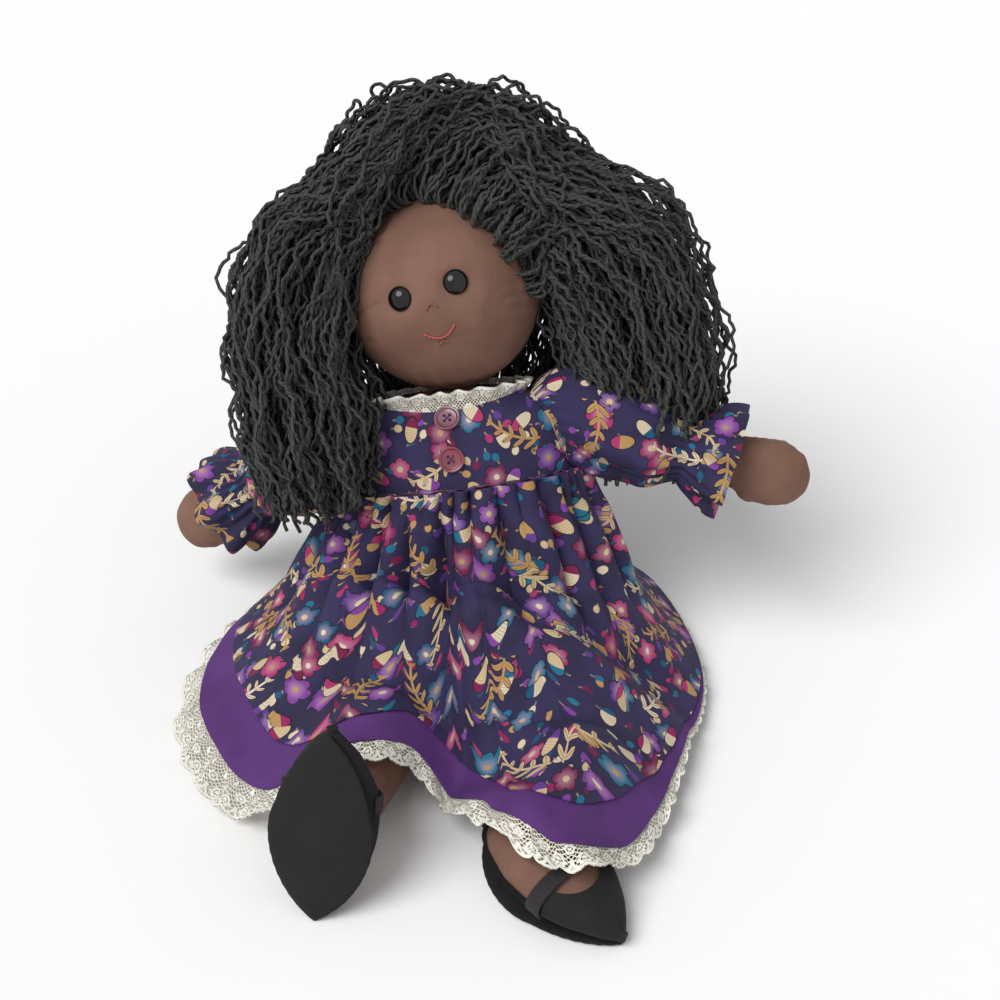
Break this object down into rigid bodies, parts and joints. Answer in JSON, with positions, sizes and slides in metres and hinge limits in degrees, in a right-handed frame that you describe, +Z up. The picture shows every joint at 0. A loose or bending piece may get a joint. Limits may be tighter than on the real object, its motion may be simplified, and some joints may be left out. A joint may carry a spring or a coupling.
{
  "type": "rag doll",
  "caption": "Seated brown cotton rag doll with black yarn hair, in a gathered print dress with lace hem and black shoes.",
  "frame": {"origin": "on the ground, below the middle of the doll's box", "axes": "+Z up, -Y ahead of the doll where its feet point, +X on the doll's left"},
  "size_m": [0.3614, 0.3732, 0.296],
  "materials": {
    "brown_cotton": "plain woven cotton, stuffed",
    "eye_plastic": "polished",
    "white_plastic": "moulded",
    "gold_thread": "stitching thread",
    "coral_thread": "stitching thread",
    "black_yarn": "kinked yarn",
    "print_cotton": "printed cotton",
    "purple_cotton": "plain woven cotton",
    "cream_lace": "cotton lace",
    "white_elastic": "woven elastic",
    "black_cotton": "plain woven cotton",
    "black_elastic": "ribbed elastic",
    "rose_button": "polished",
    "red_button": "polished",
    "snap_metal": "plated"
  },
  "bodies": {
    "torso": {"torso": "brown_cotton", "neck": "brown_cotton", "bodice_front": "print_cotton", "bodice_back_left": "print_cotton", "bodice_back_right": "print_cotton", "button_upper": "rose_button", "button_lower": "red_button", "snap_stud": "snap_metal", "snap_socket": "snap_metal", "neck_lace": "cream_lace", "skirt": "print_cotton", "underskirt": "purple_cotton", "hem_lace": "cream_lace"},
    "head": {"head": "brown_cotton", "eye_left": "eye_plastic", "eye_right": "eye_plastic", "eye_washer_left": "white_plastic", "eye_washer_right": "white_plastic", "nose_stitch": "gold_thread", "mouth_stitch": "coral_thread", "chin_stitch": "gold_thread", "hair_crown": "black_yarn", "hair_left": "black_yarn", "hair_right": "black_yarn", "hair_back": "black_yarn"},
    "arm_left": {"arm_left": "brown_cotton", "sleeve_left": "print_cotton", "sleeve_elastic_left": "white_elastic"},
    "arm_right": {"arm_right": "brown_cotton", "sleeve_right": "print_cotton", "sleeve_elastic_right": "white_elastic"},
    "leg_left": {"leg_left": "brown_cotton", "shoe_left": "black_cotton", "sole_left": "black_cotton", "strap_left": "black_elastic"},
    "leg_right": {"leg_right": "brown_cotton", "shoe_right": "black_cotton", "sole_right": "black_cotton", "strap_right": "black_elastic"}
  },
  "joints": [
    {"name": "neck_nod", "type": "hinge", "parent": "torso", "child": "head", "pos_m": [-0.00994, 0.06613, 0.13553], "axis": [0.9903, 0, 0.1392], "range_deg": [-15, 20], "deforming": ["neck_lace", "hair_left", "hair_right", "hair_back"]},
    {"name": "shoulder_left", "type": "hinge", "parent": "torso", "child": "arm_left", "pos_m": [0.04802, 0.06463, 0.13993], "axis": [-0.0521, -0.9272, 0.371], "range_deg": [-22, 45], "deforming": ["sleeve_left"]},
    {"name": "shoulder_right", "type": "hinge", "parent": "torso", "child": "arm_right", "pos_m": [-0.07478, 0.06463, 0.12267], "axis": [0.0521, 0.9272, -0.371], "range_deg": [-22, 45], "deforming": ["sleeve_right"]},
    {"name": "hip_left", "type": "hinge", "parent": "torso", "child": "leg_left", "pos_m": [0.03207, -0.01494, 0.0205], "axis": [-1, 0, 0], "range_deg": [-12, 40], "deforming": ["skirt", "underskirt", "hem_lace"]},
    {"name": "hip_right", "type": "hinge", "parent": "torso", "child": "leg_right", "pos_m": [-0.02193, -0.01494, 0.0205], "axis": [-1, 0, 0], "range_deg": [-12, 40]}
  ]
}
